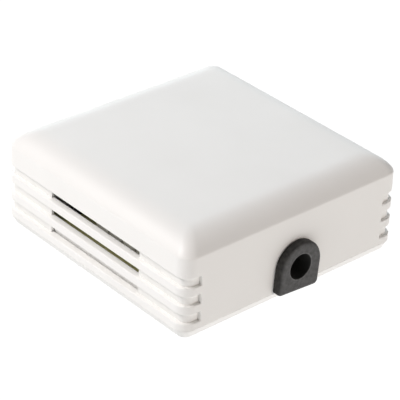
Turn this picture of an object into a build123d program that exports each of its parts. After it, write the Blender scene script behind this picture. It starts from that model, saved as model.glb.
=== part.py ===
from build123d import *
import math
import os

# Room temperature sensor: a wall housing with a resistance element on a small board.
# Millimetres. X and Y run across the wall, Z points from the wall (z = 0) to the front.
# The cable comes in on the -Y side and the vents are on the -X and +X sides.

# Housing
side = 71.0  # width and depth of the housing
height = 27.0  # from the wall to the front face
corner_radius = 3.6  # upright corners
seam_height = 2.6  # where the cover meets the back plate

# Cover
cover_wall = 1.8
cover_roof = 2.0
cover_draft = 0.2  # how far each side leans in from the seam to the crease
crease_drop = 4.3  # from the front face down to the crease round the sides
crease_slope = 32.0  # degrees that the soft edge leans from the upright at the crease
soft_corner = 0.5  # corner radius where the soft edge runs out on the front face
soft_rings = 6  # outlines that the soft edge is drawn through
inner_corner = 1.6  # upright corners inside the cover

# Vents
vent_count = 3
vent_pitch = 5.0
vent_height = 2.5
vent_bottom = 4.6  # lower edge of the lowest vent
groove_depth = 1.1  # on the vented sides
return_depth = 0.9  # round the corner, on the other two sides
groove_return = 5.2  # how far a groove reaches round each corner
groove_corner = 2.2
slot_length = 34.5  # the part of each groove that goes right through the wall

# Back plate
rim_taper = 1.4  # how far the edge of the plate draws in towards the wall
rim_corner = 2.2  # upright corners at the wall
floor_thickness = 2.0
back_recess = 0.5  # depth of the hollow in the wall side
back_recess_width = 58.0
back_recess_depth = 43.0
back_recess_corner = 2.0
upstand_gap = 0.3  # between the cover and the upstand inside it
upstand_wall = 1.4
upstand_rise = 0.2  # above the front of the board

# Wall fixings
fixing_spacing_x = 46.0
fixing_spacing_y = 54.0
fixing_width = 3.8
fixing_length = 7.0

# Rear cable entry, scored from the wall side for breaking out
knockout_length = 14.0
knockout_width = 6.0
knockout_y = -26.0
knockout_web = 0.6  # plastic left over the scored line
score_width = 0.8

# Snap hooks and the channels in the cover that they stand in
hook_offset = 19.0  # from the middle of the side
hook_width = 7.0
hook_rise = 5.0  # above the upstand
hook_nose = 0.5  # how far the nose stands out
nose_length = 2.4
channel_depth = 0.5
channel_gap = 0.5  # between the hook and each side of its channel
channel_top_gap = 0.8

# Circuit board
board_underside = 6.0
board_thickness = 1.6
board_gap = 0.3  # between the ends of the board and the upstand
board_depth = 43.0
board_corner = 1.0
relief_length = 15.0  # slot milled beside the sensing element
relief_width = 1.2
relief_setback = 3.6  # from the element
post_inset_x = 4.5  # from the board's edge to the middle of a post
post_inset_y = 3.4
post_radius = 2.6
peg_radius = 1.25
peg_rise = 1.0  # above the board
peg_gap = 0.1
peg_chamfer = 0.4

# Board screws
board_screw_radius = 1.3
board_screw_length = 5.0
board_head_radius = 2.5
board_head_height = 1.5
board_head_round = 0.75
board_drive_length = 3.0  # across the cross in the head
board_hole_gap = 0.25
pilot_gap = 0.05
pilot_floor = 0.6  # plastic left under a pilot hole
drive_width = 0.6
drive_depth = 0.7

# Cable grommet
flange_width = 13.5
flange_thickness = 2.2
flange_bottom = 2.0
flange_corner = 1.4
flange_round = 0.9
arc_height = 8.9  # middle of the half-round top of the flanges, the neck and the notch
cable_radius = 3.45
cable_height = 9.1
neck_step = 1.9  # how far the outer flange stands out beyond the neck
neck_bottom = 2.9
inner_flange_thickness = 1.5
inner_flange_step = 0.6  # how far the inner flange stands out beyond the neck
grommet_gap = 0.1  # between each flange and the wall beside it
notch_gap = 0.3  # round the neck in the cover
cradle_gap = 0.1  # beside the neck in the upstand

# Terminal block
poles = 4
pole_pitch = 5.08
block_setback = 3.0  # from the end of the board to the back of the block
block_shift = -3.9  # middle of the block, along Y
block_back_wall = 1.3
block_front_wall = 1.8
chamber_depth = 5.0
chamber_gap = 0.1  # beside each cage
entry_width = 3.2
entry_bottom = 1.2  # above the board
entry_height = 3.3
block_lip = 0.95  # ring that keeps a screw in
lip_radius = 1.6
block_chamfer = 0.5
pole_groove_width = 0.6  # in the back and the top, between the poles
pole_groove_depth = 0.5

# Clamps in the block
clamp_travel = 2.0
pin_thickness = 0.8
pin_width = 1.0
bar_bottom = 4.4  # above the board
bar_gap = 0.15  # beside the bar, in the cage
pin_clearance = 0.1
pin_end = 1.4  # below the board
cage_depth = 3.6
cage_wall = 0.7
cage_bottom = 1.2  # above the board, with the clamp open
cage_top_wall = 1.2
cage_gap = 0.2  # between the cage and the pin, and over the bar
cage_stop_gap = 0.15  # over the cage with the clamp closed
cage_screw_gap = 0.05  # between the screw's shank and the sides of the cage
screw_radius = 1.25
thread_gap = 0.03
screw_tip_gap = 0.05
screw_head_radius = 1.9
screw_head_height = 1.6
head_gap = 0.1  # round the head
head_play = 0.1  # along the screw

# Solder
solder_height = 1.0
pin_solder_radius = 1.25
pin_solder_tip = 0.85
lead_solder_radius = 0.45
lead_solder_tip = 0.3

# Sensing element
element_setback = 3.0  # from the end of the board
chip_width = 2.0
chip_length = 5.0
chip_thickness = 0.4
chip_bottom = 4.6  # above the board
film_thickness = 0.05
film_line = 0.12
film_lines = 8  # an even number, so that both ends come down to the pads
film_gap = 0.15  # between the pads and the turns over them
film_margin = 0.15
pad_length = 0.9
pad_width = 0.45
glass_thickness = 0.25
glass_margin = 0.1  # between the glass and the sides of the chip
lead_radius = 0.15
lead_spacing = 1.1
lead_hole_gap = 0.1
lead_end = 1.0  # below the board
bead_length = 1.1
bead_thickness = 0.6
bead_rise = 0.25  # above the ends of the leads
bead_round = 0.2

# Heights and places that follow from the sizes above
corners = [(-1, -1), (-1, 1), (1, -1), (1, 1)]
half = side / 2
crease_height = height - crease_drop
soft_radius = crease_drop / (1 - math.sin(math.radians(crease_slope)))
soft_reach = soft_radius * math.cos(math.radians(crease_slope))
upstand_half = half - cover_wall - upstand_gap
upstand_inner = upstand_half - upstand_wall
board_half = upstand_inner - board_gap
board_top = board_underside + board_thickness
upstand_top = board_top + upstand_rise
hook_tip = upstand_top + hook_rise
post_x = board_half - post_inset_x
post_y = board_depth / 2 - post_inset_y
neck_half = flange_width / 2 - neck_step
flange_inside = -half - grommet_gap
neck_inside = -upstand_inner + grommet_gap
block_back = -board_half + block_setback
chamber_back = block_back + block_back_wall
chamber_front = chamber_back + chamber_depth
block_low_y = block_shift - poles * pole_pitch / 2
block_high_y = block_shift + poles * pole_pitch / 2
bar_low = board_top + bar_bottom
bar_high = bar_low + pin_thickness
cage_low = board_top + cage_bottom
cage_top = bar_high + cage_gap + cage_top_wall
head_seat = cage_top + clamp_travel + cage_stop_gap
head_pocket_top = head_seat + head_play + screw_head_height
block_top = head_pocket_top + block_lip
window_half = screw_radius + cage_screw_gap
cage_half = window_half + cage_wall
bar_half = window_half - bar_gap
pin_back = chamber_back + pin_clearance
pin_middle = pin_back + pin_thickness / 2
cage_back = pin_back + pin_thickness + cage_gap
cage_front = cage_back + cage_depth
screw_x = cage_back + cage_depth / 2
pole_places = [block_low_y + (i + 0.5) * pole_pitch for i in range(poles)]
element_x = board_half - element_setback
chip_face = element_x + chip_thickness / 2
film_face = chip_face + film_thickness
chip_low = board_top + chip_bottom
chip_high = chip_low + chip_length
pad_low = chip_low + film_margin
pad_high = pad_low + pad_length
bead_top = pad_high + bead_rise
lead_x = film_face + lead_radius
lead_places = [-lead_spacing / 2, lead_spacing / 2]


def rounded_prism(half_size, radius, low, high):
    """A square prism with rounded upright corners."""
    outline = RectangleRounded(2 * half_size, 2 * half_size, radius)
    return Pos(0, 0, low) * extrude(outline, high - low)


def block(low, high):
    """A box between two opposite corners."""
    size = [high[i] - low[i] for i in range(3)]
    middle = [(high[i] + low[i]) / 2 for i in range(3)]
    return Pos(*middle) * Box(*size)


def rod(radius, low, high, x, y):
    """A round bar along Z."""
    return Pos(x, y, (low + high) / 2) * Cylinder(radius, high - low)


def arch(half_width, bottom, low_y, high_y):
    """A slab along Y with a flat bottom and the half-round top of the cable entry."""
    upright = block((-half_width, low_y, bottom), (half_width, high_y, arc_height))
    crown = Pos(0, (low_y + high_y) / 2, arc_height) * Rot(90, 0, 0) * Cylinder(half_width, high_y - low_y)
    crown &= block((-half_width, low_y, arc_height), (half_width, high_y, arc_height + half_width))
    return upright + crown


def soft_block(half_size, low, crease, radius):
    """A block with leaning sides up to the crease and the soft edge above it."""
    top_half = half_size - cover_draft
    foot = Pos(0, 0, low) * RectangleRounded(2 * half_size, 2 * half_size, radius)
    shoulder = Pos(0, 0, crease) * RectangleRounded(2 * top_half, 2 * top_half, radius)
    body = loft([foot, shoulder], ruled=True)
    rings = []
    for step in range(soft_rings):
        angle = math.radians(crease_slope + (90 - crease_slope) * step / (soft_rings - 1))
        inset = soft_reach - soft_radius * math.cos(angle)
        rise = crease_drop - soft_radius + soft_radius * math.sin(angle)
        corner = radius + (soft_corner - radius) * inset / soft_reach
        width = 2 * (top_half - inset)
        rings.append(Pos(0, 0, crease + rise) * RectangleRounded(width, width, corner))
    return body + loft(rings)


def vent_cuts():
    """The grooves round the corners and the slots through the two vented sides."""
    cuts = []
    for row in range(vent_count):
        low = vent_bottom + row * vent_pitch
        high = low + vent_height
        groove = block((-side, -side, low), (side, side, high))
        core = RectangleRounded(2 * (half - groove_depth), 2 * (half - return_depth), groove_corner)
        groove -= Pos(0, 0, low) * extrude(core, vent_height)
        groove -= block((-half + groove_return, -side, low), (half - groove_return, side, high))
        cuts.append(groove)
        cuts.append(block((-side, -slot_length / 2, low), (side, slot_length / 2, high)))
    return cuts


def front_cover():
    cover = soft_block(half, seam_height, crease_height, corner_radius)
    hollow_half = half - cover_wall
    cover -= soft_block(hollow_half, seam_height, crease_height - cover_roof, inner_corner)
    for cut in vent_cuts():
        cover -= cut
    cover -= arch(neck_half + notch_gap, 0, -side, -upstand_inner)
    reach = hook_width / 2 + channel_gap
    for way_x, way_y in corners:
        x = way_x * hook_offset
        ends = sorted((way_y * (hollow_half - cover_wall), way_y * (hollow_half + channel_depth)))
        cover -= block((x - reach, ends[0], 0), (x + reach, ends[1], hook_tip + channel_top_gap))
    return cover


def fixing_slots():
    """The four slotted holes for wall screws, as solids to take away."""
    slot = extrude(SlotOverall(fixing_length, fixing_width), height, both=True)
    return [Pos(x * fixing_spacing_x / 2, y * fixing_spacing_y / 2, 0) * slot for x, y in corners]


def score_line():
    """The scored outline of the rear cable entry, as a solid to take away."""
    low, high = -floor_thickness, floor_thickness - knockout_web
    long, wide = knockout_length / 2, knockout_width / 2
    outer = block((-long, knockout_y - wide, low), (long, knockout_y + wide, high))
    long -= score_width
    wide -= score_width
    return outer - block((-long, knockout_y - wide, low), (long, knockout_y + wide, high))


def snap_hook(way_x, way_y):
    """A hook on the upstand, with its nose towards the cover."""
    start = way_x * hook_offset - hook_width / 2
    arm = block((start, upstand_inner, upstand_top), (start + hook_width, upstand_half, hook_tip))
    nose = Polyline(
        (upstand_half, hook_tip - nose_length),
        (upstand_half + hook_nose, hook_tip - nose_length / 2),
        (upstand_half, hook_tip),
        close=True,
    )
    section = Plane(origin=(start, 0, 0), x_dir=(0, 1, 0), z_dir=(1, 0, 0)) * make_face(nose)
    hook = arm + extrude(section, hook_width)
    return hook if way_y > 0 else mirror(hook, Plane.XZ)


def board_post(way_x, way_y):
    """A post under one corner of the board, with a locating peg on two of the four."""
    x, y = way_x * post_x, way_y * post_y
    post = rod(post_radius, floor_thickness, board_underside, x, y)
    if way_x != way_y:
        return post
    peg = rod(peg_radius, board_underside, board_top + peg_rise, x, y)
    return post + chamfer(peg.edges().sort_by(Axis.Z)[-1], peg_chamfer)


def back_plate():
    foot = 2 * (half - rim_taper)
    wall_outline = RectangleRounded(foot, foot, rim_corner)
    seam_outline = Pos(0, 0, seam_height) * RectangleRounded(side, side, corner_radius)
    plate = loft([wall_outline, seam_outline], ruled=True)
    plate += rounded_prism(upstand_half, inner_corner, floor_thickness, upstand_top)
    plate -= rounded_prism(upstand_inner, inner_corner / 2, floor_thickness, height)
    for corner in corners:
        plate += snap_hook(*corner)
        plate += board_post(*corner)
    plate -= extrude(RectangleRounded(back_recess_width, back_recess_depth, back_recess_corner), back_recess)
    for slot in fixing_slots():
        plate -= slot
    plate -= score_line()
    cradle = neck_half + cradle_gap
    plate -= block((-cradle, -half, neck_bottom), (cradle, 0, height))
    for x, y in board_screw_places():
        plate -= rod(board_screw_radius + pilot_gap, back_recess + pilot_floor, board_top, x, y)
    return plate


def cable_grommet():
    flange = arch(flange_width / 2, flange_bottom, flange_inside - flange_thickness, flange_inside)
    upright = flange.edges().filter_by(Axis.Y).sort_by(Axis.Z)[:2]
    flange = fillet(upright, flange_corner)
    front = flange.faces().sort_by(Axis.Y)[0]
    flange = fillet(front.edges(), flange_round)
    neck = arch(neck_half, neck_bottom, flange_inside, neck_inside)
    inner_half = neck_half + inner_flange_step
    inner = arch(inner_half, neck_bottom, neck_inside, neck_inside + inner_flange_thickness)
    hole = Pos(0, -half, cable_height) * Rot(90, 0, 0) * Cylinder(cable_radius, side)
    return flange + neck + inner - hole


def circuit_board():
    outline = RectangleRounded(2 * board_half, board_depth, board_corner)
    board = Pos(0, 0, board_underside) * extrude(outline, board_thickness)
    for way_x, way_y in corners:
        radius = peg_radius + peg_gap if way_x == way_y else board_screw_radius + board_hole_gap
        board -= rod(radius, 0, height, way_x * post_x, way_y * post_y)
    for y in pole_places:
        board -= rod(math.hypot(pin_thickness, pin_width) / 2 + pin_clearance, 0, height, pin_middle, y)
    for y in lead_places:
        board -= rod(lead_radius + lead_hole_gap, 0, height, lead_x, y)
    relief = extrude(Rot(0, 0, 90) * SlotOverall(relief_length, relief_width), height)
    return board - Pos(element_x - relief_setback, 0, 0) * relief


def board_screw_places():
    return [(-post_x, post_y), (post_x, -post_y)]


def board_screw(x, y):
    """A pan-head screw with a cross drive, head on the board."""
    top = board_top + board_head_height
    head = rod(board_head_radius, board_top, top, x, y)
    head = fillet(head.edges().sort_by(Axis.Z)[-1], board_head_round)
    screw = head + rod(board_screw_radius, board_top - board_screw_length, board_top, x, y)
    for long_x, long_y in ((board_drive_length, drive_width), (drive_width, board_drive_length)):
        low = (x - long_x / 2, y - long_y / 2, top - drive_depth)
        screw -= block(low, (x + long_x / 2, y + long_y / 2, height))
    return screw


def terminal_housing():
    block_front = chamber_front + block_front_wall
    housing = block((block_back, block_low_y, board_top), (block_front, block_high_y, block_top))
    long_edges = housing.edges().filter_by(Axis.Y).sort_by(Axis.Z)[-2:]
    housing = chamfer(long_edges, block_chamfer)
    entry_low = board_top + entry_bottom
    for y in pole_places:
        reach = cage_half + chamber_gap
        housing -= block((chamber_back, y - reach, 0), (chamber_front, y + reach, head_seat))
        reach = entry_width / 2
        housing -= block((chamber_back, y - reach, entry_low), (half, y + reach, entry_low + entry_height))
        housing -= rod(screw_head_radius + head_gap, head_seat, head_pocket_top, screw_x, y)
        housing -= rod(lip_radius, head_seat, height, screw_x, y)
    for low_y, high_y in zip(pole_places, pole_places[1:]):
        groove_y = (low_y + high_y - pole_groove_width) / 2
        groove_end = groove_y + pole_groove_width
        housing -= block((-half, groove_y, 0), (block_back + pole_groove_depth, groove_end, height))
        housing -= block((-half, groove_y, block_top - pole_groove_depth), (half, groove_end, height))
    return housing


def terminal_pin(y):
    """A bent contact: the bar that the wire is clamped against, and its leg to the board."""
    bar = block((pin_back, y - bar_half, bar_low), (cage_front, y + bar_half, bar_high))
    leg_low = (pin_back, y - pin_width / 2, board_underside - pin_end)
    return bar + block(leg_low, (pin_back + pin_thickness, y + pin_width / 2, bar_high))


def terminal_cage(y):
    """The rising clamp: a square ring round the bar, tapped for its screw."""
    cage = block((cage_back, y - cage_half, cage_low), (cage_front, y + cage_half, cage_top))
    window_low = (screw_x - cage_depth, y - window_half, cage_low + cage_wall)
    cage -= block(window_low, (screw_x + cage_depth, y + window_half, cage_top - cage_top_wall))
    return cage - rod(screw_radius + thread_gap, bar_low, height, screw_x, y)


def terminal_screw(y):
    """A slotted clamp screw that stays in its place and draws the cage up."""
    seat = head_seat + head_play / 2
    top = seat + screw_head_height
    screw = rod(screw_radius, bar_high + screw_tip_gap, seat, screw_x, y)
    screw += rod(screw_head_radius, seat, top, screw_x, y)
    slot_low = (screw_x - drive_width / 2, y - 2 * screw_head_radius, top - drive_depth)
    return screw - block(slot_low, (screw_x + drive_width / 2, y + 2 * screw_head_radius, height))


def solder_joint(x, y, foot_radius, tip_radius, core):
    """A cone of solder under the board, with the pin or lead that it holds taken out."""
    joint = Pos(x, y, board_underside - solder_height / 2) * Cone(tip_radius, foot_radius, solder_height)
    return joint - core


def solder_joints():
    joints = []
    for y in pole_places:
        joints.append(solder_joint(pin_middle, y, pin_solder_radius, pin_solder_tip, terminal_pin(y)))
    for y in lead_places:
        joints.append(solder_joint(lead_x, y, lead_solder_radius, lead_solder_tip, sensor_lead(y)))
    return joints


def sensing_chip():
    """The ceramic carrier of the element, on edge beside the vents."""
    low = (element_x - chip_thickness / 2, -chip_width / 2, chip_low)
    return block(low, (chip_face, chip_width / 2, chip_high))


def platinum_film():
    """The meandering resistance track and its two pads."""
    turn_low = pad_high + film_gap
    turn_high = chip_high - film_margin
    edge = chip_width / 2 - film_margin
    pitch = (2 * edge - film_line) / (film_lines - 1)
    bars = []
    for i in range(film_lines):
        y = -edge + i * pitch
        foot = pad_high if i in (0, film_lines - 1) else turn_low
        bars.append(block((chip_face, y, foot), (film_face, y + film_line, turn_high)))
        if i < film_lines - 1:
            turn = turn_high - film_line if i % 2 == 0 else turn_low
            bars.append(block((chip_face, y, turn), (film_face, y + pitch + film_line, turn + film_line)))
    for end in (-1, 1):
        pad = sorted((end * edge, end * (edge - pad_width)))
        bars.append(block((chip_face, pad[0], pad_low), (film_face, pad[1], pad_high)))
    return bars[0] + bars[1:]


def glass_cover():
    """The glaze over the film."""
    reach = chip_width / 2 - glass_margin
    return block((film_face, -reach, bead_top), (film_face + glass_thickness, reach, chip_high))


def sensor_lead(y):
    return rod(lead_radius, board_underside - lead_end, pad_high, lead_x, y)


def sensor_leads():
    return [sensor_lead(y) for y in lead_places]


def lead_bead():
    """The glass drop that holds the leads on the chip."""
    reach = chip_width / 2 - film_margin
    bead = block((film_face, -reach, bead_top - bead_length), (film_face + bead_thickness, reach, bead_top))
    outer = bead.edges().filter_by(Axis.Y).sort_by(Axis.X)[-2:]
    bead = fillet(outer, bead_round)
    for y in lead_places:
        bead -= sensor_lead(y)
    return bead


def nodes():
    """Every piece of the sensor, by name: one solid, or a list of like solids."""
    pieces = {
        "front_cover": front_cover(),
        "back_plate": back_plate(),
        "cable_grommet": cable_grommet(),
        "circuit_board": circuit_board(),
        "board_screws": [board_screw(x, y) for x, y in board_screw_places()],
        "terminal_housing": terminal_housing(),
        "terminal_pins": [terminal_pin(y) for y in pole_places],
        "solder_joints": solder_joints(),
        "sensing_chip": sensing_chip(),
        "platinum_film": platinum_film(),
        "glass_cover": glass_cover(),
        "sensor_leads": sensor_leads(),
        "lead_bead": lead_bead(),
    }
    for number, y in enumerate(pole_places, start=1):
        pieces[f"terminal_screw_{number}"] = terminal_screw(y)
        pieces[f"terminal_cage_{number}"] = terminal_cage(y)
    return pieces


def main():
    os.makedirs("parts", exist_ok=True)
    for name, shape in nodes().items():
        pieces = shape if isinstance(shape, list) else [shape]
        solids = [solid for piece in pieces for solid in piece.solids()]
        whole = solids[0] if len(solids) == 1 else Compound(children=solids)
        whole.label = name
        export_step(whole, f"parts/{name}.step")


main()
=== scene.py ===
import math

import bmesh
import bpy
from mathutils import Matrix, Vector


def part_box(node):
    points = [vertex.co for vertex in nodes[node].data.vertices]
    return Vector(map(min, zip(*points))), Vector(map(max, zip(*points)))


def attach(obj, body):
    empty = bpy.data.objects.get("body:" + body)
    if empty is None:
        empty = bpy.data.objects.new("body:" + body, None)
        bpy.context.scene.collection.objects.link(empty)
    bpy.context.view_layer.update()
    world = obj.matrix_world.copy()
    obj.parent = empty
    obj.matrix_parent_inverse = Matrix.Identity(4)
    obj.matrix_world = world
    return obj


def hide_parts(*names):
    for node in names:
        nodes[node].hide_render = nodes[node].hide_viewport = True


# Room temperature sensor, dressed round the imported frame.
# Metres, in the frame's own axes: Z points from the wall to the front, the cable comes in on the -Y side.

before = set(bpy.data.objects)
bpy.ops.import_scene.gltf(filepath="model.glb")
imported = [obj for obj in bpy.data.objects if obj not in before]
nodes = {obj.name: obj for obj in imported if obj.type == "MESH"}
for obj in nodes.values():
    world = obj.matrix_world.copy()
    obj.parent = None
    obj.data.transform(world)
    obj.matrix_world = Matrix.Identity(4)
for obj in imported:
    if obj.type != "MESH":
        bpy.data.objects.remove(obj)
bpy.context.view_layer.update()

mm = 0.001
near = 0.01 * mm  # places closer than this are taken for the same one
touch = near / 10  # points closer than this are merged
square = 0.99  # a face whose normal has more than this along an axis is square to it
upright = 0.1  # a face whose normal has less than this along Z stands upright
past = 1.0 * mm  # how far a cutter stands out of what it cuts, and a joined piece goes in
corners = [(-1, -1), (-1, 1), (1, -1), (1, 1)]
flat_turn = math.radians(0.5)  # faces that turn less are taken for one flat face
round_turn = math.radians(20)  # edges that turn less aren't rounded
smooth_turn = math.radians(50)  # edges that turn more are shaded sharp
round_steps = 3
face_weight = 60  # how much more a large face counts than a small one in the shading

# Cover
cover_low, cover_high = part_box("front_cover")
half = cover_high.x
seam = cover_low.z
front = cover_high.z
cover_wall = 1.8 * mm
cover_roof = 2.0 * mm
corner_radius = 3.6 * mm
inner_corner = 1.6 * mm
cover_draft = 0.2 * mm  # how far each side leans in from the seam to the crease
crease_drop = 4.3 * mm  # from the front face down to the crease round the sides
crease_slope = math.radians(32)  # of the soft edge from the upright, at the crease
soft_corner = 0.5 * mm  # corner radius where the soft edge runs out on the front face
face_ring = 0.4 * mm  # a band round the front face, inside the soft edge
corner_steps = 12
soft_steps = 12

# Vents
outer_skin = half - cover_wall + near  # what reaches further is on the outer skin
vent_count = 3
vent_pitch = 5.0 * mm
vent_height = 2.5 * mm
vent_bottom = 4.6 * mm  # lower edge of the lowest vent
vent_lows = [vent_bottom + row * vent_pitch for row in range(vent_count)]
vent_bands = [(low, low + vent_height) for low in vent_lows]
groove_depth = 1.1 * mm  # on the vented sides
return_depth = 0.9 * mm  # round the corner, on the other two sides
groove_return = 5.2 * mm  # how far a groove reaches round its corner
groove_corner = 2.2 * mm  # corner radius of a groove's floor
groove_end = half - groove_return
slot_end = 17.25 * mm  # from the middle of the side
lean_room = 0.3 * mm  # more than the sides lean

# Cable notch and hook channels in the cover
neck_half = 4.85 * mm
notch_gap = 0.3 * mm
cutter_reach = 3.0 * mm  # from the outside inwards, more than the wall
channel_middle = 19.0 * mm  # from the middle of the side
channel_half = 4.0 * mm
channel_depth = 0.5 * mm
channel_top = 13.6 * mm

# Grommet
grommet_low, grommet_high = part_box("cable_grommet")
flange_half = grommet_high.x
flange_thickness = 2.2 * mm
flange_corner = 1.4 * mm
flange_corner_steps = 8
flange_round = 1.0 * mm
flange_round_steps = 7
flange_lean = math.radians(4)  # the soft flange sits a little askew
flange_shift = 0.3 * mm
arch_height = grommet_high.z - flange_half  # middle of the half-round top
arch_sides = 64
neck_bottom = 2.9 * mm
hole_radius = 3.45 * mm
hole_height = 9.1 * mm
hole_sides = 96
hole_cutter = 4 * (grommet_high.y - grommet_low.y)  # well past both ends of the grommet
hole_round = 0.25 * mm
lip_width = 0.25 * mm
inner_flange_half = 5.45 * mm
inner_flange_thickness = 1.5 * mm

# Board
board_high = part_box("circuit_board")[1]
board_top = board_high.z
post_inset_x = 4.5 * mm
post_inset_y = 3.4 * mm
post_x = board_high.x - post_inset_x
post_y = board_high.y - post_inset_y
peg_hole = 1.35 * mm
peg_ring = 0.9 * mm
lead_low, lead_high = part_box("sensor_leads")
lead_radius = 0.15 * mm
lead_hole = 0.25 * mm
lead_ring = 0.22 * mm
lead_spacing = lead_high.y - lead_low.y - 2 * lead_radius
lead_pad_x = (lead_low.x + lead_high.x) / 2
relief_half = 7.5 * mm  # of the slot milled beside the sensing element
block_low, block_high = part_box("terminal_housing")
pole_count = 4
pole_pitch = (block_high.y - block_low.y) / pole_count
via_middle = (block_low.y + block_high.y) / 2
via_places = [block_low.y + (i + 0.5) * pole_pitch for i in range(pole_count)]
via_setback = 2.2 * mm  # of the plated holes from the block
via_x = block_high.x + via_setback
via_hole = 0.3 * mm
via_ring = 0.35 * mm
track_bend_x = 18.0 * mm
track_lane = 1.3 * mm  # from one track's middle to the next
track_width = 0.6 * mm
track_thickness = 0.06 * mm
track_turn = math.radians(30)  # edges of a track that turn more are shaded sharp
pad_thickness = 0.08 * mm
pad_round = 0.8 * pad_thickness
pad_turn = math.radians(60)  # only the rims of a pad turn more
pad_sides = 32
pad_steps = 2

# Softened edges
crease_round = 0.35 * mm
vent_round = 0.4 * mm
seam_round = 0.12 * mm
edge_steps = 2
soft_turn = math.radians(35)  # edges of a carried-over piece that turn more are rounded
soft_edges = {
    "back_plate": 0.2 * mm,
    "circuit_board": 0.1 * mm,
    "board_screws": 0.08 * mm,
    "terminal_housing": 0.12 * mm,
    "terminal_pins": 0.08 * mm,
    "sensing_chip": 0.04 * mm,
    "glass_cover": 0.06 * mm,
    "lead_bead": 0.05 * mm,
}
for number in range(1, pole_count + 1):
    soft_edges[f"terminal_screw_{number}"] = 0.1 * mm
    soft_edges[f"terminal_cage_{number}"] = 0.1 * mm

# Camera
view_azimuth = math.radians(-42.2543)
view_elevation = math.radians(31.0408)
view_roll = math.radians(2.6865)
view_distance = 498.98 * mm
view_side = -0.0837 * mm
view_down = -3.105 * mm
view_lens = 176.193
view_sensor = 36
view_nearest = 10 * mm
view_farthest = 20.0

# Floor and light
floor_size = 8.0
floor_drop = 0.05 * mm
floor_glow = 1.0
mirror_strength = 0.5  # what the room gives to reflections only
softboxes = {
    "key_softbox": {"place": (-0.60, 0.30, 0.74), "size": 0.5, "power": 9.7, "color": (1.0, 0.97, 0.97)},
    "front_softbox": {"place": (0.2, -0.97, 0.14), "size": 0.5, "power": 3.8, "color": (1.0, 0.89, 0.82)},
    "backdrop": {"place": (0.65, 0.72, 0.35), "size": 1.2, "power": 6.3, "color": (0.83, 0.94, 1.0)},
}


def paint(red, green, blue):
    """A colour given as it looks on a screen, 0 to 255, as the shader wants it."""
    def linear(value):
        share = value / 255
        return share / 12.92 if share <= 0.04045 else ((share + 0.055) / 1.055) ** 2.4

    return (linear(red), linear(green), linear(blue), 1.0)


# Finishes
white = paint(255, 255, 255)
floor_grey = paint(60, 60, 60)
rubber_black = paint(28, 28, 28)
rubber_grey = paint(65, 64, 62)
# pale bloom, laid only on faces turned to the cable side, which is also painted light
bloom_and_lit_face_grey = paint(88, 88, 88)
# painted highlight on the rounded rim of the cable's hole
painted_lip_highlight_grey = paint(112, 112, 112)
bore_grey = paint(54, 54, 52)
bloom_scale = 1100
bloom_least = 0.4
# colour of the cut edges, made paler as painted light on the shaded edge
edge_tan_and_painted_light = paint(182, 178, 130)
weave_yellow = paint(186, 182, 132)
weave_share = 0.35
weave_scale = 700
crystal_share = 0.5
plastic_grain = 5000
board_grain = 3000
fine_grain = 9000
grain_depth = 0.01 * mm
fine_depth = 0.005 * mm
weave_depth = 0.02 * mm
rubber_depth = 0.04 * mm


# Modelling


def open_piece():
    bpy.ops.object.mode_set(mode="EDIT")


def close_piece():
    bpy.ops.object.mode_set(mode="OBJECT")


def new_piece(name):
    """Names the primitive just added, puts its place in its mesh and opens it for editing."""
    piece = bpy.context.object
    piece.name = piece.data.name = name
    bpy.ops.object.transform_apply(location=True, rotation=True, scale=True)
    open_piece()
    return piece


def deselect_pieces():
    for piece in bpy.context.selected_objects:
        piece.select_set(False)


def choose(piece, *others):
    """Selects these pieces alone and makes the first the active one."""
    deselect_pieces()
    for chosen in (piece, *others):
        chosen.select_set(True)
    bpy.context.view_layer.objects.active = piece


def pick(kind, test):
    """Selects the VERT, EDGE or FACE parts of the open mesh that show and pass the test."""
    mesh = bpy.context.edit_object.data
    bpy.ops.mesh.select_mode(type=kind)
    bpy.ops.mesh.select_all(action="DESELECT")
    shape = bmesh.from_edit_mesh(mesh)
    parts = {"VERT": shape.verts, "EDGE": shape.edges, "FACE": shape.faces}[kind]
    for part in parts:
        if not part.hide and test(part):
            part.select_set(True)
    shape.select_flush_mode()
    bmesh.update_edit_mesh(mesh)


def move(x, y, z):
    bpy.ops.transform.translate(value=(x, y, z))


def extrude_up(rise):
    bpy.ops.mesh.extrude_region_move(TRANSFORM_OT_translate={"value": (0, 0, rise)})


def apply_modifier(piece, kind, **settings):
    modifier = piece.modifiers.new(kind.lower(), kind)
    for key, value in settings.items():
        setattr(modifier, key, value)
    choose(piece)
    bpy.ops.object.modifier_apply(modifier=modifier.name)


def cut_away(piece, cutter):
    apply_modifier(piece, "BOOLEAN", object=cutter, operation="DIFFERENCE", solver="EXACT")
    bpy.data.objects.remove(cutter)


def join_to(piece, other):
    apply_modifier(piece, "BOOLEAN", object=other, operation="UNION", solver="EXACT")
    bpy.data.objects.remove(other)


def weigh_edges(piece, share, test):
    """Gives the convex edges that pass the test a share of the piece's bevel width."""
    choose(piece)
    open_piece()
    pick("EDGE", lambda edge: edge.is_convex and edge.calc_face_angle(0) > round_turn and test(edge))
    bpy.ops.transform.edge_bevelweight(value=share)
    close_piece()


def middle(edge):
    return (edge.verts[0].co + edge.verts[1].co) / 2


def round_edges(piece, width):
    apply_modifier(
        piece, "BEVEL", width=width, segments=round_steps, limit_method="WEIGHT",
        use_clamp_overlap=False, miter_outer="MITER_ARC",
    )


def shade(piece):
    choose(piece)
    bpy.ops.object.shade_smooth_by_angle(angle=smooth_turn)
    apply_modifier(piece, "WEIGHTED_NORMAL", mode="FACE_AREA", weight=face_weight, keep_sharp=True)


def box_piece(name, low, high):
    """A plain box between two corners."""
    deselect_pieces()
    place = [(a + b) / 2 for a, b in zip(low, high)]
    size = [b - a for a, b in zip(low, high)]
    bpy.ops.mesh.primitive_cube_add(size=1, location=place, scale=size)
    piece = new_piece(name)
    close_piece()
    return piece


# Cover


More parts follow.
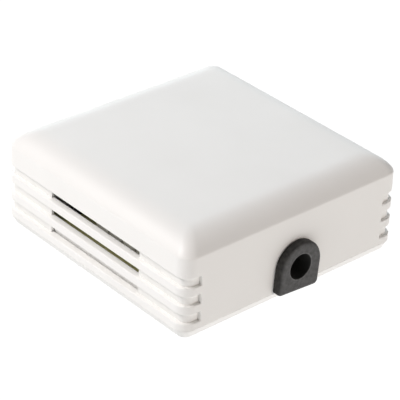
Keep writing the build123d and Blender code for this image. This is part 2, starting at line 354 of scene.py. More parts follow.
def skin_outlines(half_size, crease, radius):
    """The height, half size and corner radius of a skin at each step, from the seam to the front face."""
    outlines = [(seam, half_size, radius)]
    for band in vent_bands:
        for height in band:
            lean = cover_draft * (height - seam) / (crease - seam)
            outlines.append((height, half_size - lean, radius))
    reach = crease_drop / (1 - math.sin(crease_slope))
    run = reach * math.cos(crease_slope)
    for step in range(soft_steps + 1):
        angle = crease_slope + (math.pi / 2 - crease_slope) * step / soft_steps
        inset = run - reach * math.cos(angle)
        rise = crease_drop - reach + reach * math.sin(angle)
        corner = radius + (soft_corner - radius) * inset / run
        outlines.append((crease + rise, half_size - cover_draft - inset, corner))
    return outlines


def draw_corners(last, outline):
    """Draws the corners of the faces just extruded from the last outline's size and radius to the new."""
    last_half, last_radius = last[1:]
    height, half_size, radius = outline
    centre = last_half - last_radius
    shift = half_size - radius - centre
    share = radius / last_radius
    for way_x, way_y in corners:
        pick("VERT", lambda vertex: (
            abs(vertex.co.z - height) < near
            and way_x * vertex.co.x > centre - near
            and way_y * vertex.co.y > centre - near
        ))
        bpy.ops.transform.resize(
            value=(share, share, 1), center_override=(way_x * centre, way_y * centre, height),
        )
        move(way_x * shift, way_y * shift, 0)


def soft_skin(name, half_size, crease, radius):
    """One skin of the cover: leaning sides in bands up to the crease, and the soft edge over it."""
    deselect_pieces()
    bpy.ops.mesh.primitive_plane_add(size=2 * half_size, location=(0, 0, seam))
    skin = new_piece(name)
    bpy.ops.mesh.bevel(offset=radius, segments=corner_steps, affect="VERTICES")
    outlines = skin_outlines(half_size, crease, radius)
    for last, outline in zip(outlines, outlines[1:]):
        pick("FACE", lambda face: face.normal.z > square and face.calc_center_median().z > last[0] - near)
        extrude_up(outline[0] - last[0])
        draw_corners(last, outline)
    pick("FACE", lambda face: face.calc_center_median().z > outlines[-1][0] - near)
    bpy.ops.mesh.inset(thickness=face_ring)
    pick("FACE", lambda face: face.calc_center_median().z < seam + near)
    bpy.ops.mesh.delete(type="ONLY_FACE")
    close_piece()
    return skin


def in_band(height):
    """Whether a height lies between the edges of a vent."""
    return any(low < height < high for low, high in vent_bands)


def in_outer_band(face):
    """Whether a face is on the outer skin, between the edges of a vent."""
    place = face.calc_center_median()
    return in_band(place.z) and max(abs(place.x), abs(place.y)) > outer_skin


def cut_bands():
    """Cuts the bands across where the slots and the grooves end, in the open mesh of both skins."""
    for y in (-slot_end, slot_end):
        pick("FACE", lambda face: abs(face.normal.x) > square and in_band(face.calc_center_median().z))
        bpy.ops.mesh.bisect(plane_co=(0, y, 0), plane_no=(0, 1, 0))
    for x in (-groove_end, groove_end):
        pick("FACE", lambda face: abs(face.normal.y) > square and in_outer_band(face))
        bpy.ops.mesh.bisect(plane_co=(x, 0, 0), plane_no=(1, 0, 0))


def sink_grooves():
    """Sinks the grooves along the sides, and draws them in where they turn a corner."""
    pick("FACE", lambda face: in_outer_band(face) and abs(face.calc_center_median().x) > groove_end)
    bpy.ops.mesh.extrude_region_move(TRANSFORM_OT_translate={"value": (0, 0, 0)})
    bpy.ops.mesh.hide(unselected=True)
    for way in (-1, 1):
        pick("VERT", lambda vertex: way * vertex.co.x > outer_skin and abs(vertex.co.y) < slot_end + near)
        move(-way * groove_depth, 0, 0)
        pick("VERT", lambda vertex: way * vertex.co.y > outer_skin and abs(vertex.co.x) < groove_end + near)
        move(0, -way * return_depth, 0)
    centre = half - corner_radius
    share = groove_corner / corner_radius
    shift_x = corner_radius - groove_corner - groove_depth
    shift_y = corner_radius - groove_corner - return_depth
    for way_x, way_y in corners:
        pick("VERT", lambda vertex: (
            way_x * vertex.co.x > centre - lean_room and way_y * vertex.co.y > centre - lean_room
        ))
        bpy.ops.transform.resize(
            value=(share, share, 1), center_override=(way_x * centre, way_y * centre, 0),
        )
        move(way_x * shift_x, way_y * shift_y, 0)
    bpy.ops.mesh.reveal(select=False)


def open_slots():
    """Opens the slots, from the floors of the grooves to the inner skin."""
    for way in (-1, 1):
        for low, high in vent_bands:
            pick("FACE", lambda face: (
                abs(face.normal.x) > square
                and way * face.calc_center_median().x > 0
                and low < face.calc_center_median().z < high
                and abs(face.calc_center_median().y) < slot_end / 2
            ))
            bpy.ops.mesh.bridge_edge_loops()


def arch_piece(name, half_width, low, near_y, far_y):
    """A slab along Y with a flat bottom and a half-round top, the form of the cable entry."""
    deselect_pieces()
    bpy.ops.mesh.primitive_circle_add(
        vertices=arch_sides, radius=half_width, location=(0, near_y, arch_height),
        rotation=(math.pi / 2, 0, 0),
    )
    piece = new_piece(name)
    pick("VERT", lambda vertex: vertex.co.z < arch_height - near)
    bpy.ops.mesh.delete(type="VERT")
    pick("VERT", lambda vertex: vertex.co.z < arch_height + near)
    bpy.ops.mesh.extrude_vertices_move(TRANSFORM_OT_translate={"value": (0, 0, low - arch_height)})
    bpy.ops.mesh.select_all(action="SELECT")
    bpy.ops.mesh.edge_face_add()
    bpy.ops.mesh.extrude_region_move(TRANSFORM_OT_translate={"value": (0, far_y - near_y, 0)})
    bpy.ops.mesh.select_all(action="SELECT")
    bpy.ops.mesh.normals_make_consistent(inside=False)
    close_piece()
    return piece


def double_skin():
    """The cover's outer and inner skins, closed round the seam and vented."""
    inside = soft_skin("cover_inside", half - cover_wall, front - crease_drop - cover_roof, inner_corner)
    cover = soft_skin("cover", half, front - crease_drop, corner_radius)
    choose(cover, inside)
    bpy.ops.object.join()
    open_piece()
    pick("EDGE", lambda edge: edge.is_boundary)
    bpy.ops.mesh.fill()
    cut_bands()
    sink_grooves()
    open_slots()
    bpy.ops.mesh.select_all(action="SELECT")
    bpy.ops.mesh.remove_doubles(threshold=touch)
    bpy.ops.mesh.normals_make_consistent(inside=False)
    pick("FACE", lambda face: abs(face.normal.z) < upright)
    bpy.ops.mesh.dissolve_limited(angle_limit=flat_turn)
    close_piece()
    return cover


def cut_channel(cover, way_x, way_y):
    """Sinks the channel of one hook into the inside of the wall."""
    x = way_x * channel_middle
    ends = sorted((way_y * (half - cutter_reach), way_y * (half - cover_wall + channel_depth)))
    low = (x - channel_half, ends[0], 0)
    high = (x + channel_half, ends[1], channel_top)
    cut_away(cover, box_piece("channel", low, high))


def round_cover(cover):
    """Rounds the crease, the outer edges of the vents and grooves, and the seam, each by its own radius."""
    crease = front - crease_drop
    outer = half - cover_wall / 2
    weigh_edges(cover, crease_round / vent_round, lambda edge: (
        abs(middle(edge).z - crease) < near and edge.verts[0].co.xy.length > half - near
    ))
    weigh_edges(cover, 1.0, lambda edge: (
        seam + near < middle(edge).z < crease - near
        and max(abs(middle(edge).x), abs(middle(edge).y)) > outer
        and abs(edge.verts[0].co.z - edge.verts[1].co.z) < vent_height + near
    ))
    weigh_edges(cover, seam_round / vent_round, lambda edge: abs(middle(edge).z - seam) < near)
    round_edges(cover, vent_round)


def make_cover():
    """The cover, with its vents, the notch for the cable's neck and the channels for the hooks."""
    cover = double_skin()
    cut_away(cover, arch_piece("notch", neck_half + notch_gap, 0, -half - past, -half + cutter_reach))
    for way_x, way_y in corners:
        cut_channel(cover, way_x, way_y)
    round_cover(cover)
    shade(cover)
    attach(cover, "cover")
    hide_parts("front_cover")
    return cover


# Grommet


def soft_flange():
    """The flange outside the cover, with soft lower corners and a soft rim, and a little askew."""
    low = grommet_low.z
    outside = grommet_low.y
    flange = arch_piece("grommet", flange_half, low, outside, outside + flange_thickness)
    open_piece()
    pick("EDGE", lambda edge: (
        edge.verts[0].co.z < low + near and edge.verts[1].co.z < low + near
        and abs(edge.verts[0].co.y - edge.verts[1].co.y) > flange_thickness / 2
    ))
    bpy.ops.mesh.bevel(offset=flange_corner, segments=flange_corner_steps, affect="EDGES")
    pick("FACE", lambda face: face.normal.y < -square)
    bpy.ops.mesh.region_to_loop()
    bpy.ops.mesh.bevel(offset=flange_round, segments=flange_round_steps, affect="EDGES")
    bpy.ops.mesh.select_all(action="SELECT")
    bpy.ops.transform.rotate(
        value=-flange_lean, orient_axis="Y", center_override=(0, outside, hole_height),
    )
    move(flange_shift, 0, 0)
    close_piece()
    return flange


def cut_hole(grommet):
    """Cuts the cable's hole through the grommet and rounds both its rims."""
    deselect_pieces()
    bpy.ops.mesh.primitive_cylinder_add(
        vertices=hole_sides, radius=hole_radius, depth=hole_cutter,
        location=(0, -half, hole_height), rotation=(math.pi / 2, 0, 0),
    )
    hole = new_piece("hole")
    close_piece()
    cut_away(grommet, hole)
    weigh_edges(grommet, 1.0, lambda edge: (
        abs(math.hypot(middle(edge).x, middle(edge).z - hole_height) - hole_radius) < near
        and abs(edge.verts[0].co.y - edge.verts[1].co.y) < near
    ))
    round_edges(grommet, hole_round)


def make_grommet():
    """The grommet: a soft outer flange, a neck through the wall, an inner flange and the cable's hole."""
    grommet = soft_flange()
    start = grommet_low.y + flange_thickness - past
    end = grommet_high.y
    neck = arch_piece("neck", neck_half, neck_bottom, start, end - past)
    join_to(grommet, neck)
    inner = arch_piece("inner_flange", inner_flange_half, neck_bottom, end - inner_flange_thickness, end)
    join_to(grommet, inner)
    cut_hole(grommet)
    shade(grommet)
    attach(grommet, "base")
    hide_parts("cable_grommet")
    return grommet


# Board details


def copper_track(name, points):
    """A flat track with square ends along the points, on the front of the board."""
    profile = bpy.data.curves.new("track_profile", "CURVE")
    profile.dimensions = "2D"
    section = profile.splines.new("POLY")
    section.points.add(3)
    side = track_width / 2
    rise = track_thickness
    for point, place in zip(section.points, [(-side, -rise), (side, -rise), (side, rise), (-side, rise)]):
        point.co = (*place, 0, 1)
    section.use_cyclic_u = True
    cross_piece = bpy.data.objects.new("track_profile", profile)
    bpy.context.scene.collection.objects.link(cross_piece)
    path = bpy.data.curves.new(name, "CURVE")
    path.dimensions = "3D"
    path.twist_mode = "Z_UP"
    path.bevel_mode = "OBJECT"
    path.bevel_object = cross_piece
    path.use_fill_caps = True
    line = path.splines.new("POLY")
    line.points.add(len(points) - 1)
    for point, place in zip(line.points, points):
        point.co = (*place, board_top, 1)
    track = bpy.data.objects.new(name, path)
    bpy.context.scene.collection.objects.link(track)
    choose(track)
    bpy.ops.object.convert(target="MESH")
    bpy.data.objects.remove(cross_piece)
    track = bpy.context.object
    open_piece()
    bpy.ops.mesh.select_all(action="SELECT")
    bpy.ops.mesh.remove_doubles(threshold=touch)
    bpy.ops.mesh.normals_make_consistent(inside=False)
    close_piece()
    return track


def ring_pad(name, x, y, hole, width):
    """A tinned ring round a hole in the front of the board, domed a little by its solder."""
    deselect_pieces()
    bpy.ops.mesh.primitive_cylinder_add(
        vertices=pad_sides, radius=hole + width, depth=2 * pad_thickness, location=(x, y, board_top),
    )
    pad = new_piece(name)
    pick("FACE", lambda face: abs(face.normal.z) > square)
    bpy.ops.mesh.inset(thickness=width)
    pick("FACE", lambda face: abs(face.normal.z) > square and len(face.verts) > 4)
    bpy.ops.mesh.bridge_edge_loops()
    pick("EDGE", lambda edge: (
        edge.verts[0].co.z > board_top and edge.verts[1].co.z > board_top
        and edge.calc_face_angle(0) > pad_turn
    ))
    bpy.ops.mesh.bevel(offset=pad_round, segments=pad_steps, affect="EDGES")
    bpy.ops.mesh.select_all(action="SELECT")
    bpy.ops.mesh.normals_make_consistent(inside=False)
    close_piece()
    return pad


def join_pieces(name, pieces):
    choose(*pieces)
    bpy.ops.object.join()
    whole = bpy.context.object
    whole.name = whole.data.name = name
    return whole


def make_tracks():
    """Two tracks from each lead, round the end of the milled slot, to the plated holes before the block."""
    tracks = []
    for way in (-1, 1):
        lead_y = way * lead_spacing / 2
        ends = sorted((y for y in via_places if way * (y - via_middle) > 0), key=abs)
        for lane, pole_y in enumerate(ends):
            lane_x = lead_pad_x + lane * track_lane
            turn_y = way * (relief_half + (1 + lane) * track_lane)
            slant = abs(turn_y - pole_y)
            points = [
                (lead_pad_x, lead_y),
                (lane_x, lead_y + way * lane * track_lane),
                (lane_x, turn_y - way * track_lane),
                (lane_x - track_lane, turn_y),
                (track_bend_x, turn_y),
                (track_bend_x - slant, pole_y),
                (via_x, pole_y),
            ]
            tracks.append(copper_track(f"track_{way}_{lane}", points))
    whole = join_pieces("board_tracks", tracks)
    choose(whole)
    bpy.ops.object.shade_smooth_by_angle(angle=track_turn)
    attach(whole, "base")
    return whole


def make_pads():
    """Pads round the holes of the leads, the plated holes and the pegs."""
    pads = []
    for number, way in enumerate((-1, 1)):
        pads.append(ring_pad(f"lead_pad_{number}", lead_pad_x, way * lead_spacing / 2, lead_hole, lead_ring))
    for number, y in enumerate(via_places):
        pads.append(ring_pad(f"via_{number}", via_x, y, via_hole, via_ring))
    for number, way in enumerate((-1, 1)):
        pads.append(ring_pad(f"peg_pad_{number}", way * post_x, way * post_y, peg_hole, peg_ring))
    whole = join_pieces("board_pads", pads)
    shade(whole)
    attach(whole, "base")
    return whole


# Carried-over pieces


def soften(name, width):
    """Rounds the sharp edges of a carried-over piece by live modifiers."""
    piece = nodes[name]
    weld = piece.modifiers.new("join_triangles", "WELD")
    weld.merge_threshold = touch
    flat = piece.modifiers.new("whole_faces", "DECIMATE")
    flat.decimate_type = "DISSOLVE"
    flat.angle_limit = flat_turn
    bevel = piece.modifiers.new("soft_edges", "BEVEL")
    bevel.width = width
    bevel.segments = edge_steps
    bevel.limit_method = "ANGLE"
    bevel.angle_limit = soft_turn
    normals = piece.modifiers.new("even_faces", "WEIGHTED_NORMAL")
    normals.mode = "FACE_AREA"
    normals.keep_sharp = True


# Materials


def new_material(name, color, roughness, metallic=0.0):
    material = bpy.data.materials.new(name)
    material.use_nodes = True
    shader = material.node_tree.nodes["Principled BSDF"]
    shader.inputs["Base Color"].default_value = color
    shader.inputs["Roughness"].default_value = roughness
    shader.inputs["Metallic"].default_value = metallic
    material.diffuse_color = color
    return material, shader


def add(tree, kind, **settings):
    node = tree.nodes.new(kind)
    for key, value in settings.items():
        setattr(node, key, value)
    return node


def new_group(name, inputs, outputs):
    """A node group with number inputs, given as (name, value), and number outputs, given by name."""
    group = bpy.data.node_groups.new(name, "ShaderNodeTree")
    for label, value in inputs:
        socket = group.interface.new_socket(label, in_out="INPUT", socket_type="NodeSocketFloat")
        socket.default_value = value
    for label in outputs:
        group.interface.new_socket(label, in_out="OUTPUT", socket_type="NodeSocketFloat")
    source = group.nodes.new("NodeGroupInput")
    result = group.nodes.new("NodeGroupOutput")
    return group, source, result


def mottle_group():
    """Slow, cloudy unevenness over a surface, from 0 to 1."""
    inputs = [("Scale", 100.0), ("Detail", 3.0)]
    group, source, result = new_group("mottle", inputs, ["Mask"])
    place = add(group, "ShaderNodeTexCoord")
    noise = add(group, "ShaderNodeTexNoise")
    group.links.new(place.outputs["Object"], noise.inputs["Vector"])
    group.links.new(source.outputs["Scale"], noise.inputs["Scale"])
    group.links.new(source.outputs["Detail"], noise.inputs["Detail"])
    spread = add(group, "ShaderNodeMapRange", clamp=True)
    spread.inputs["From Min"].default_value = 0.3
    spread.inputs["From Max"].default_value = 0.7
    group.links.new(noise.outputs["Fac"], spread.inputs["Value"])
    group.links.new(spread.outputs["Result"], result.inputs["Mask"])
    return group


def grain_group():
    """The fine grain that a mould or a casting leaves, as a height from 0 to 1."""
    group, source, result = new_group("grain", [("Scale", 4000.0)], ["Height"])
    place = add(group, "ShaderNodeTexCoord")
    noise = add(group, "ShaderNodeTexNoise")
    noise.inputs["Detail"].default_value = 2.0
    pits = add(group, "ShaderNodeTexVoronoi")
    coarser = add(group, "ShaderNodeMath", operation="MULTIPLY")
    coarser.inputs[1].default_value = 0.6
    mix = add(group, "ShaderNodeMix", data_type="FLOAT")
    mix.inputs["Factor"].default_value = 0.4
    group.links.new(place.outputs["Object"], noise.inputs["Vector"])
    group.links.new(place.outputs["Object"], pits.inputs["Vector"])
    group.links.new(source.outputs["Scale"], noise.inputs["Scale"])
    group.links.new(source.outputs["Scale"], coarser.inputs[0])
    group.links.new(coarser.outputs["Value"], pits.inputs["Scale"])
    group.links.new(noise.outputs["Fac"], mix.inputs["A"])
    group.links.new(pits.outputs["Distance"], mix.inputs["B"])
    group.links.new(mix.outputs["Result"], result.inputs["Height"])
    return group


def facing_group():
    """How far a surface faces the cable side, and whether it stands upright, each from 0 to 1."""
    group, source, result = new_group("facing", [], ["Cable side", "Upright"])
    place = add(group, "ShaderNodeTexCoord")
    parts = add(group, "ShaderNodeSeparateXYZ")
    group.links.new(place.outputs["Normal"], parts.inputs["Vector"])
    step = add(group, "ShaderNodeMapRange", clamp=True)
    step.inputs["From Min"].default_value = -0.6
    step.inputs["From Max"].default_value = -0.95
    group.links.new(parts.outputs["Y"], step.inputs["Value"])
    group.links.new(step.outputs["Result"], result.inputs["Cable side"])
    height = add(group, "ShaderNodeMath", operation="ABSOLUTE")
    flat = add(group, "ShaderNodeMath", operation="LESS_THAN")
    flat.inputs[1].default_value = 0.5
    group.links.new(parts.outputs["Z"], height.inputs[0])
    group.links.new(height.outputs["Value"], flat.inputs[0])
    group.links.new(flat.outputs["Value"], result.inputs["Upright"])
    return group


def weave_group():
    """The plain weave of glass cloth, as a height from 0 to 1."""
    group, source, result = new_group("weave", [("Scale", 1000.0)], ["Height"])
    place = add(group, "ShaderNodeTexCoord")
    threads = []
    for direction in ("X", "Y"):
        wave = add(group, "ShaderNodeTexWave", wave_type="BANDS", bands_direction=direction)
        wave.inputs["Distortion"].default_value = 0.6
        wave.inputs["Detail"].default_value = 1.0
        group.links.new(place.outputs["Object"], wave.inputs["Vector"])
        group.links.new(source.outputs["Scale"], wave.inputs["Scale"])
        threads.append(wave)
    top = add(group, "ShaderNodeMath", operation="MAXIMUM")
    group.links.new(threads[0].outputs["Fac"], top.inputs[0])
    group.links.new(threads[1].outputs["Fac"], top.inputs[1])
    group.links.new(top.outputs["Value"], result.inputs["Height"])
    return group


def spangle_group():
    """The small crystals of a plated metal, each a little lighter or darker, from 0 to 1."""
    group, source, result = new_group("spangle", [("Scale", 1500.0)], ["Mask"])
    place = add(group, "ShaderNodeTexCoord")
    cells = add(group, "ShaderNodeTexVoronoi")
    group.links.new(place.outputs["Object"], cells.inputs["Vector"])
    group.links.new(source.outputs["Scale"], cells.inputs["Scale"])
    grey = add(group, "ShaderNodeSeparateColor")
    group.links.new(cells.outputs["Color"], grey.inputs["Color"])
    group.links.new(grey.outputs["Red"], result.inputs["Mask"])
    return group


def bore_group():
    """Masks round the grommet's hole: 1 on its wall, and 1 as far as the outer edge of its rounded lip, where
    a painted highlight goes.
    """
    group, source, result = new_group("bore", [], ["Wall", "Lip"])
    place = add(group, "ShaderNodeTexCoord")
    centred = add(group, "ShaderNodeVectorMath", operation="SUBTRACT")
    centred.inputs[1].default_value = (0, 0, hole_height)
    across = add(group, "ShaderNodeVectorMath", operation="MULTIPLY")
    across.inputs[1].default_value = (1, 0, 1)
    reach = add(group, "ShaderNodeVectorMath", operation="LENGTH")
    group.links.new(place.outputs["Object"], centred.inputs[0])
    group.links.new(centred.outputs["Vector"], across.inputs[0])
    group.links.new(across.outputs["Vector"], reach.inputs[0])
    for label, edge, fade in (("Wall", 0, 0.2 * hole_round), ("Lip", lip_width, 0.5 * lip_width)):
        step = add(group, "ShaderNodeMapRange", clamp=True)
        step.inputs["From Min"].default_value = hole_radius + edge + fade
        step.inputs["From Max"].default_value = hole_radius + edge
        group.links.new(reach.outputs["Value"], step.inputs["Value"])
        group.links.new(step.outputs["Result"], result.inputs[label])
    return group


mottle = mottle_group()
grain = grain_group()
facing = facing_group()
weave = weave_group()
spangle = spangle_group()
bore = bore_group()


def place_group(tree, group, **values):
    node = add(tree, "ShaderNodeGroup", node_tree=group)
    for label, value in values.items():
        node.inputs[label].default_value = value
    return node


def lay_over(tree, under, color, mask, share=1.0):
    """Lays a colour over the colour that comes from a socket, where the mask is 1."""
    blend = add(tree, "ShaderNodeMix", data_type="RGBA")
    blend.inputs["B"].default_value = color
    tree.links.new(under, blend.inputs["A"])
    if share < 1:
        part = add(tree, "ShaderNodeMath", operation="MULTIPLY")
        part.inputs[1].default_value = share
        tree.links.new(mask, part.inputs[0])
        mask = part.outputs["Value"]
    tree.links.new(mask, blend.inputs["Factor"])
    return blend.outputs["Result"]


def finish(
    name, color, shade_color, roughness, spread, clouds,
    grain_scale=plastic_grain, depth=grain_depth, metallic=0.0,
):
    """A material that is uneven in colour and roughness, in clouds of one scale, with a fine grain."""
    material, shader = new_material(name, color, roughness, metallic)
    tree = material.node_tree
    uneven = place_group(tree, mottle, Scale=clouds)
    blend = add(tree, "ShaderNodeMix", data_type="RGBA")
    blend.inputs["A"].default_value = color
    blend.inputs["B"].default_value = shade_color
    tree.links.new(uneven.outputs["Mask"], blend.inputs["Factor"])
    tree.links.new(blend.outputs["Result"], shader.inputs["Base Color"])
    rough = add(tree, "ShaderNodeMapRange")
    rough.inputs["To Min"].default_value = roughness - spread
    rough.inputs["To Max"].default_value = roughness + spread
    tree.links.new(uneven.outputs["Mask"], rough.inputs["Value"])
    tree.links.new(rough.outputs["Result"], shader.inputs["Roughness"])
    specks = place_group(tree, grain, Scale=grain_scale)
    bump = add(tree, "ShaderNodeBump")
    bump.inputs["Strength"].default_value = 0.5
    bump.inputs["Distance"].default_value = depth
    tree.links.new(specks.outputs["Height"], bump.inputs["Height"])
    tree.links.new(bump.outputs["Normal"], shader.inputs["Normal"])
    return material


def colour_source(material):
    """The shader's colour socket and the socket that feeds it."""
    socket = material.node_tree.nodes["Principled BSDF"].inputs["Base Color"]
    return socket, socket.links[0].from_socket


def grommet_rubber():
    """Dark rubber with a pale, patchy bloom on its outer face, which is also painted light: it goes only on
    faces turned to the cable side, so the sides and rounding stay darker as if shaded. A painted highlight on
    the hole's rim and a darker hole.
    """
    material = finish(
        "grommet_rubber", rubber_black, rubber_grey,
        roughness=0.6, spread=0.08, clouds=900, depth=rubber_depth)
    tree = material.node_tree
    tree.nodes["Principled BSDF"].inputs["Specular IOR Level"].default_value = 0.25
    socket, color = colour_source(material)
    faces = place_group(tree, facing)
    patches = place_group(tree, mottle, Scale=bloom_scale, Detail=4.0)
    bloom = add(tree, "ShaderNodeMath", operation="MULTIPLY_ADD")
    bloom.inputs[1].default_value = 1 - bloom_least
    bloom.inputs[2].default_value = bloom_least
    tree.links.new(patches.outputs["Mask"], bloom.inputs[0])
    # Painted light: the bloom lies only on faces turned to the cable side, so they read lit and the sides and
    # rounding stay darker
    bloom_and_lit_face = add(tree, "ShaderNodeMath", operation="MULTIPLY")
    tree.links.new(bloom.outputs["Value"], bloom_and_lit_face.inputs[0])
    tree.links.new(faces.outputs["Cable side"], bloom_and_lit_face.inputs[1])
    color = lay_over(tree, color, bloom_and_lit_face_grey, bloom_and_lit_face.outputs["Value"])
    hole = place_group(tree, bore)
    # Painted highlight on the hole's rounded rim, in the bloom's patches
    painted_lip_highlight = add(tree, "ShaderNodeMath", operation="MULTIPLY")
    tree.links.new(bloom.outputs["Value"], painted_lip_highlight.inputs[0])
    tree.links.new(hole.outputs["Lip"], painted_lip_highlight.inputs[1])
    color = lay_over(tree, color, painted_lip_highlight_grey, painted_lip_highlight.outputs["Value"])
    color = lay_over(tree, color, bore_grey, hole.outputs["Wall"])
    tree.links.new(color, socket)
    return material


def board_laminate():
    """Khaki laminate that shows its woven glass, with paler cut edges, made paler still as painted light on
    the shaded edge.
    """
    material = finish(
        "board_laminate", paint(166, 162, 108), paint(154, 150, 98),
        roughness=0.35, spread=0.05, clouds=300, grain_scale=board_grain)
    tree = material.node_tree
    cloth = place_group(tree, weave, Scale=weave_scale)
    socket, color = colour_source(material)
    color = lay_over(tree, color, weave_yellow, cloth.outputs["Height"], weave_share)
    # Cut edges are paler laminate, made paler still as painted light on the edge that lies in shade
    color = lay_over(tree, color, edge_tan_and_painted_light, place_group(tree, facing).outputs["Upright"])
    tree.links.new(color, socket)
    bump = tree.nodes["Bump"]
    layers = add(tree, "ShaderNodeBump")
    layers.inputs["Strength"].default_value = 0.4
    layers.inputs["Distance"].default_value = weave_depth
    tree.links.new(cloth.outputs["Height"], layers.inputs["Height"])
    tree.links.new(layers.outputs["Normal"], bump.inputs["Normal"])
    return material


def plated(name, color, shade_color, roughness, crystal_scale):
    """A plated metal, with small crystals that catch the light differently."""
    material = finish(name, color, shade_color, roughness, spread=0.08, clouds=700, metallic=1.0)
    tree = material.node_tree
    crystals = place_group(tree, spangle, Scale=crystal_scale)
    socket, under = colour_source(material)
    tree.links.new(lay_over(tree, under, shade_color, crystals.outputs["Mask"], crystal_share), socket)
    return material


def make_materials():
    return {
        "cover_plastic": finish(
            "cover_plastic", paint(238, 237, 234), paint(236, 235, 232),
            roughness=0.42, spread=0.03, clouds=60),
        "plate_plastic": finish(
            "plate_plastic", paint(238, 237, 234), paint(235, 234, 231),
            roughness=0.45, spread=0.03, clouds=60),
        "grommet_rubber": grommet_rubber(),
        "board_laminate": board_laminate(),
        "masked_copper": finish(
            "masked_copper", paint(138, 132, 70), paint(128, 122, 64),
            roughness=0.35, spread=0.05, clouds=300, grain_scale=board_grain),
        "screw_steel": plated(
            "screw_steel", paint(196, 197, 200), paint(150, 152, 158),
            roughness=0.32, crystal_scale=2500),
        "terminal_plastic": finish(
            "terminal_plastic", paint(206, 204, 196), paint(198, 196, 188),
            roughness=0.5, spread=0.04, clouds=300),
        "tinned_brass": plated(
            "tinned_brass", paint(208, 203, 190), paint(180, 170, 142),
            roughness=0.28, crystal_scale=3500),
        "solder": finish(
            "solder", paint(196, 196, 196), paint(170, 170, 172),
            roughness=0.3, spread=0.1, clouds=1200, metallic=1.0),
        "chip_ceramic": finish(
            "chip_ceramic", paint(232, 230, 224), paint(222, 220, 214),
            roughness=0.5, spread=0.05, clouds=1500, grain_scale=fine_grain),
        "platinum": finish(
            "platinum", paint(214, 212, 206), paint(190, 188, 184),
            roughness=0.25, spread=0.05, clouds=2000, grain_scale=fine_grain, depth=fine_depth, metallic=1.0),
        "film_glaze": finish(
            "film_glaze", paint(206, 214, 196), paint(196, 206, 186),
            roughness=0.12, spread=0.04, clouds=1500, grain_scale=fine_grain, depth=fine_depth),
        "lead_wire": finish(
            "lead_wire", paint(214, 210, 200), paint(188, 184, 176),
            roughness=0.28, spread=0.06, clouds=1500, grain_scale=fine_grain, depth=fine_depth, metallic=1.0),
        "bead_glass": finish(
            "bead_glass", paint(150, 142, 118), paint(132, 124, 100),
            roughness=0.15, spread=0.05, clouds=1500, grain_scale=fine_grain, depth=fine_depth),
        "cage_steel": plated(
            "cage_steel", paint(200, 196, 182), paint(160, 154, 134),
            roughness=0.34, crystal_scale=2500),
    }


def set_material(piece, material):
    piece.data.materials.clear()
    piece.data.materials.append(material)


node_finishes = {
    "back_plate": "plate_plastic",
    "circuit_board": "board_laminate",
    "board_screws": "screw_steel",
    "terminal_housing": "terminal_plastic",
    "terminal_pins": "tinned_brass",
    "solder_joints": "solder",
    "sensing_chip": "chip_ceramic",
    "platinum_film": "platinum",
    "glass_cover": "film_glaze",
    "sensor_leads": "lead_wire",
    "lead_bead": "bead_glass",
}
for number in range(1, pole_count + 1):
    node_finishes[f"terminal_screw_{number}"] = "screw_steel"
    node_finishes[f"terminal_cage_{number}"] = "cage_steel"


# Stage


def make_camera():
    """The camera at the photograph's place, turned a little about its own line of sight."""
    back = Vector((
        math.sin(view_azimuth) * math.cos(view_elevation),
        -math.cos(view_azimuth) * math.cos(view_elevation),
        math.sin(view_elevation),
    ))
    level = Vector((math.cos(view_azimuth), math.sin(view_azimuth), 0))
    rise = back.cross(level)
    right = math.cos(view_roll) * level + math.sin(view_roll) * rise
    up = math.cos(view_roll) * rise - math.sin(view_roll) * level
    target = Vector((0, 0, front / 2))
    data = bpy.data.cameras.new("camera")
    data.lens = view_lens
    data.sensor_width = view_sensor
    data.clip_start = view_nearest
    data.clip_end = view_farthest
    camera = bpy.data.objects.new("camera", data)
    bpy.context.scene.collection.objects.link(camera)
    camera.rotation_mode = "QUATERNION"
    turn = Matrix((right, up, back)).transposed()
    camera.rotation_quaternion = turn.to_quaternion()
    camera.location = target + right * view_side + up * view_down + back * view_distance
    bpy.context.scene.camera = camera


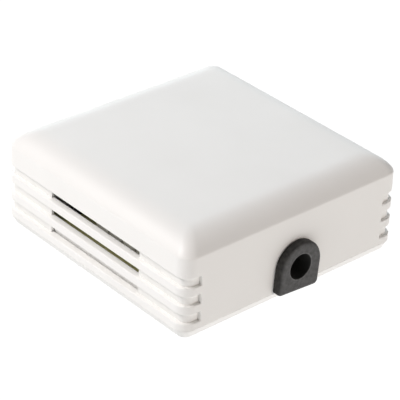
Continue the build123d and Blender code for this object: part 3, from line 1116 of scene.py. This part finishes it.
def make_floor():
    """A floor that glows white from above and is clear from below."""
    deselect_pieces()
    bpy.ops.mesh.primitive_plane_add(size=floor_size, location=(0, 0, -floor_drop))
    floor = bpy.context.object
    floor.name = "floor"
    material, shader = new_material("floor_glow", floor_grey, 0.9)
    shader.inputs["Emission Color"].default_value = white
    shader.inputs["Emission Strength"].default_value = floor_glow
    tree = material.node_tree
    side_seen = add(tree, "ShaderNodeNewGeometry")
    clear = add(tree, "ShaderNodeBsdfTransparent")
    mix = add(tree, "ShaderNodeMixShader")
    tree.links.new(side_seen.outputs["Backfacing"], mix.inputs["Fac"])
    tree.links.new(shader.outputs["BSDF"], mix.inputs[1])
    tree.links.new(clear.outputs["BSDF"], mix.inputs[2])
    tree.links.new(mix.outputs["Shader"], tree.nodes["Material Output"].inputs["Surface"])
    set_material(floor, material)


def make_light(name, place, size, power, color):
    """A square soft light that faces the sensor."""
    data = bpy.data.lights.new(name, "AREA")
    data.shape = "SQUARE"
    data.size = size
    data.energy = power
    data.color = color
    light = bpy.data.objects.new(name, data)
    bpy.context.scene.collection.objects.link(light)
    light.location = place
    light.rotation_mode = "QUATERNION"
    light.rotation_quaternion = (-Vector(place)).to_track_quat("-Z", "Y")


def make_world():
    """A white room that the camera and the reflections see, but that lights no matt surface."""
    world = bpy.data.worlds.new("studio")
    world.use_nodes = True
    tree = world.node_tree
    background = tree.nodes["Background"]
    background.inputs["Color"].default_value = white
    ray = add(tree, "ShaderNodeLightPath")
    mirrored = add(tree, "ShaderNodeMath", operation="MULTIPLY_ADD")
    mirrored.inputs[1].default_value = mirror_strength
    tree.links.new(ray.outputs["Is Glossy Ray"], mirrored.inputs[0])
    tree.links.new(ray.outputs["Is Camera Ray"], mirrored.inputs[2])
    tree.links.new(mirrored.outputs["Value"], background.inputs["Strength"])
    bpy.context.scene.world = world


make_camera()
make_floor()
for name, setting in softboxes.items():
    make_light(name, **setting)
make_world()
bpy.context.scene.view_settings.view_transform = "Standard"

materials = make_materials()
set_material(make_cover(), materials["cover_plastic"])
set_material(make_grommet(), materials["grommet_rubber"])
for name, slot in node_finishes.items():
    set_material(nodes[name], materials[slot])
set_material(make_tracks(), materials["masked_copper"])
set_material(make_pads(), materials["solder"])
for name, width in soft_edges.items():
    soften(name, width)

deselect_pieces()
